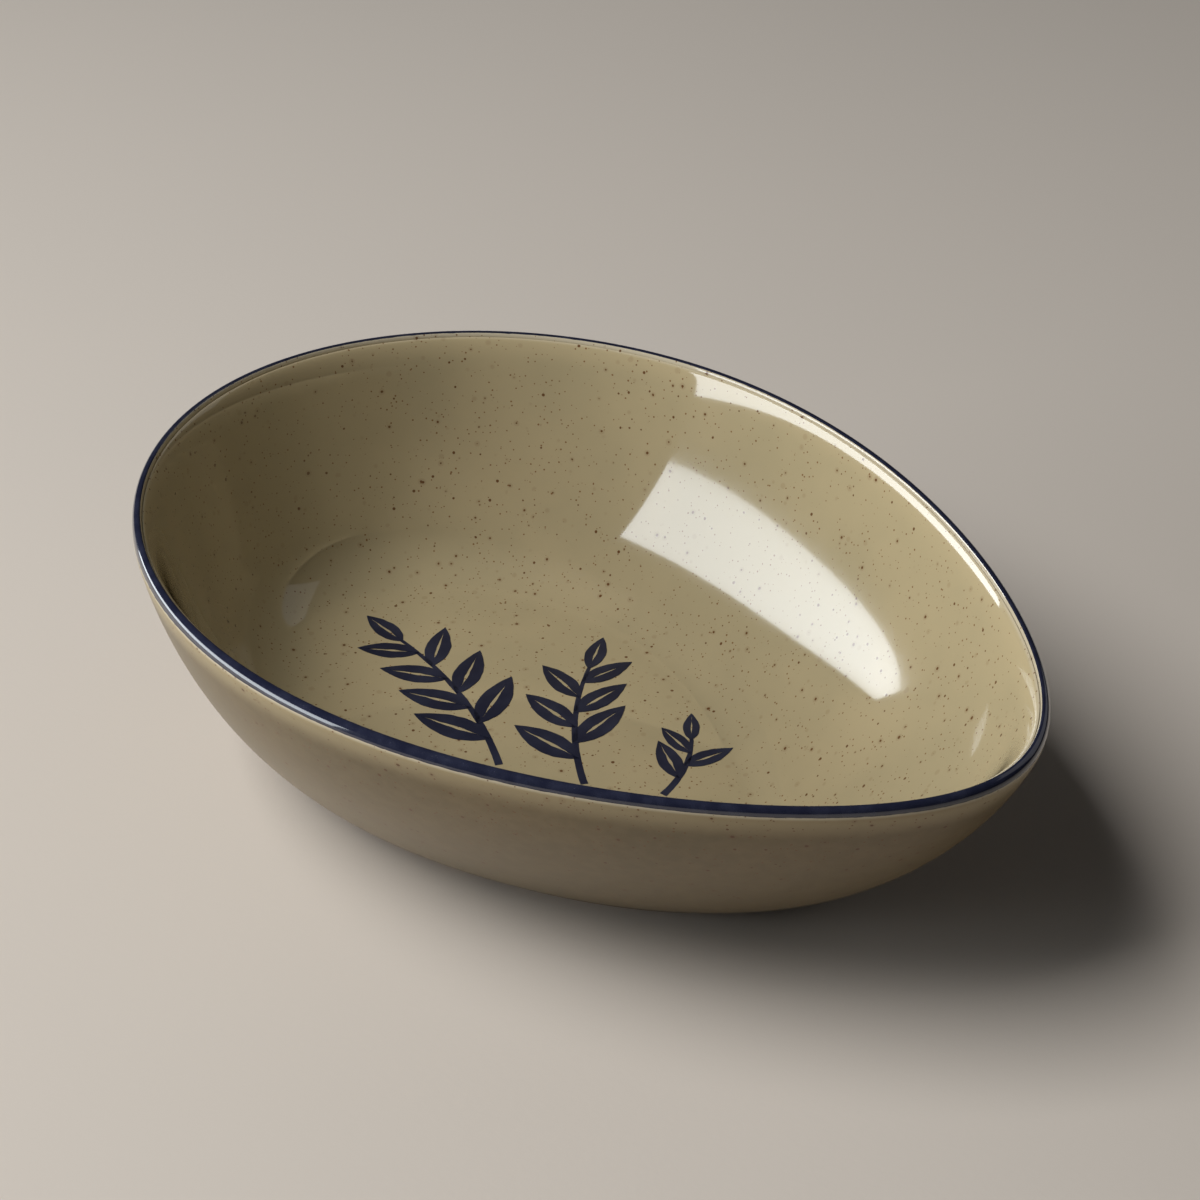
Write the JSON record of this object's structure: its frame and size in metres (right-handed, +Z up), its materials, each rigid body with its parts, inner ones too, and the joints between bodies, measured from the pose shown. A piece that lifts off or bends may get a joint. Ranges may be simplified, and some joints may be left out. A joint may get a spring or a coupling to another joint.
{
  "type": "serving bowl",
  "caption": "Drop-shaped stoneware serving bowl with flared walls, a low foot ring, speckled tan glaze, a navy rim band and a leafy print on its floor.",
  "frame": {"origin": "on the table under the middle of the bowl's bounding box", "axes": "+X along the length towards the narrow tip, +Z up through the mouth"},
  "size_m": [0.2, 0.1426, 0.0584],
  "materials": {
    "bare_stoneware": "matte",
    "underside_glaze": "gloss",
    "outer_glaze": "gloss",
    "navy_band": "gloss",
    "inner_glaze": "gloss",
    "navy_print": "satin"
  },
  "bodies": {
    "root": {"stoneware_body": "bare_stoneware", "underside_glaze": "underside_glaze", "outer_glaze": "outer_glaze", "rim_band": "navy_band", "inner_glaze": "inner_glaze", "print_sprig_left": "navy_print", "print_sprig_middle": "navy_print", "print_sprig_right": "navy_print"}
  },
  "joints": []
}
